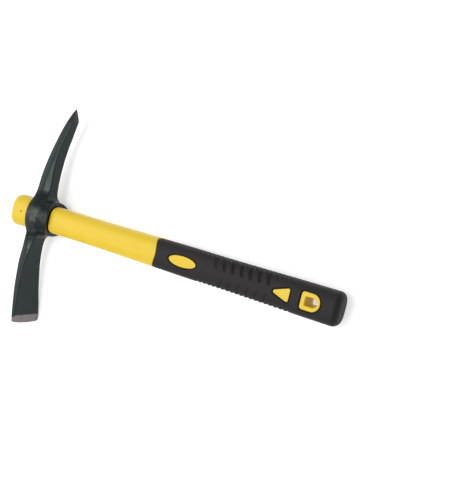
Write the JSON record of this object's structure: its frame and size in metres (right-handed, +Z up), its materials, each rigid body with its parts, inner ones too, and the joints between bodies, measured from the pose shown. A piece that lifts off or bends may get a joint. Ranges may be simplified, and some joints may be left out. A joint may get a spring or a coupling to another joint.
{
  "type": "hand pick mattock",
  "caption": "Hand pick mattock: a forged head with a curved pick and a flared adze on an oval moulded handle with a ribbed rubber grip and a hanging hole",
  "frame": {"origin": "centre of the flat end face of the handle's knob, past the head", "axes": "+X along the handle from the knob to the butt, +Y from the eye to the pick's point, +Z up out of the tool's wide side as it lies flat"},
  "size_m": [0.385, 0.241, 0.039],
  "materials": {
    "head_enamel": "satin baked enamel over forged steel, ground bare at the adze's edge",
    "fibreglass": "sawn end of a pultruded glass and resin rod",
    "yellow_jacket": "satin injection-moulded polypropylene",
    "grip_rubber": "matte over-moulded thermoplastic rubber"
  },
  "bodies": {
    "root": {"pick_head": "head_enamel", "core_rod": "fibreglass", "handle_jacket": "yellow_jacket", "grip": "grip_rubber"}
  },
  "joints": []
}
